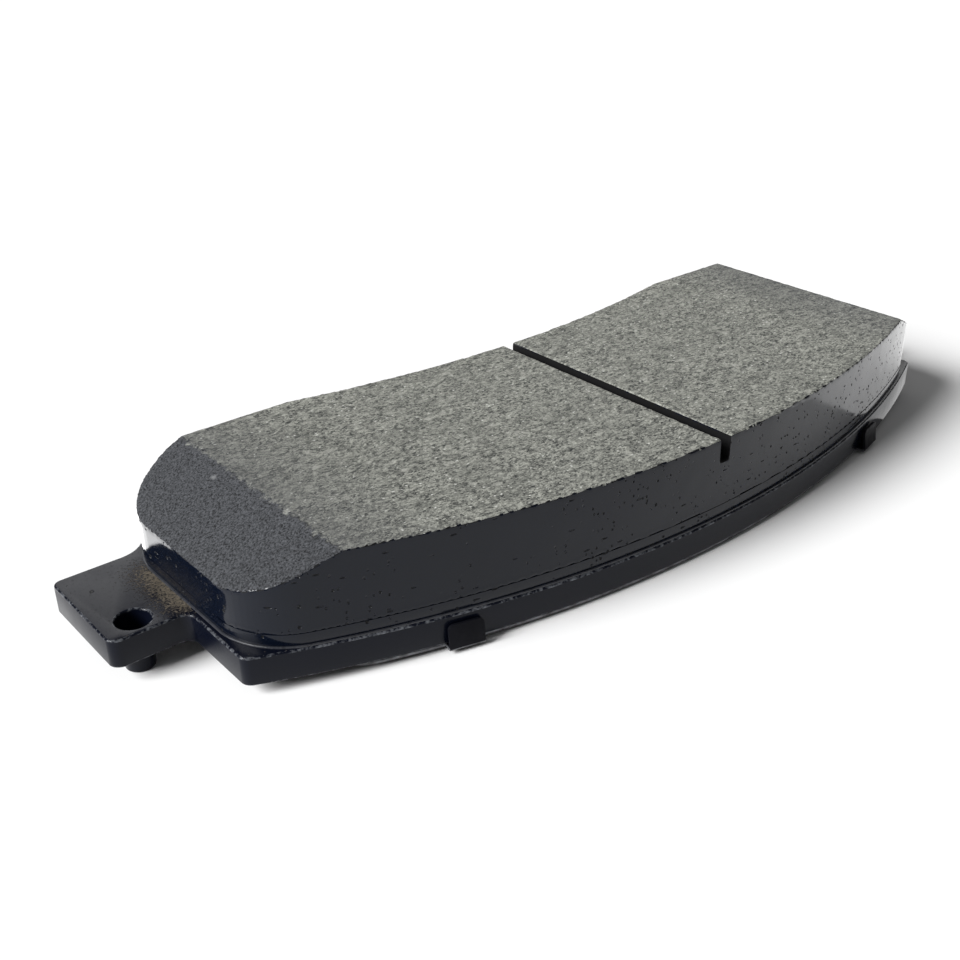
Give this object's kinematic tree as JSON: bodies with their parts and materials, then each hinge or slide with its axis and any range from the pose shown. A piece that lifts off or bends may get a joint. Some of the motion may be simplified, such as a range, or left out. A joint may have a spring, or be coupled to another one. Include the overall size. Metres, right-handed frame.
{
  "type": "brake pad",
  "caption": "Disc brake pad: steel backing plate with two ears, chamfered and slotted friction block on an underlayer, and a clipped noise shim.",
  "frame": {"origin": "centre of the pad's length and height, at the level of the ends of the two locating bosses", "axes": "+X along the pad, +Y from the convex outer edge to the hollow inner edge, +Z out of the friction face"},
  "size_m": [0.1936, 0.0634, 0.0238],
  "materials": {
    "plate_paint": "satin black paint",
    "adhesive": "cured phenolic resin",
    "underlayer": "painted pressed compound",
    "friction": "ground pressed friction compound with light flecks",
    "shim_rubber": "matt rubber coat",
    "shim_steel": "matt blue-black coated sheet steel"
  },
  "bodies": {
    "root": {"backing_plate": "plate_paint", "adhesive_film": "adhesive", "underlayer": "underlayer", "friction_block": "friction", "shim_inner_rubber": "shim_rubber", "shim_steel": "shim_steel", "shim_outer_rubber": "shim_rubber"}
  },
  "joints": []
}
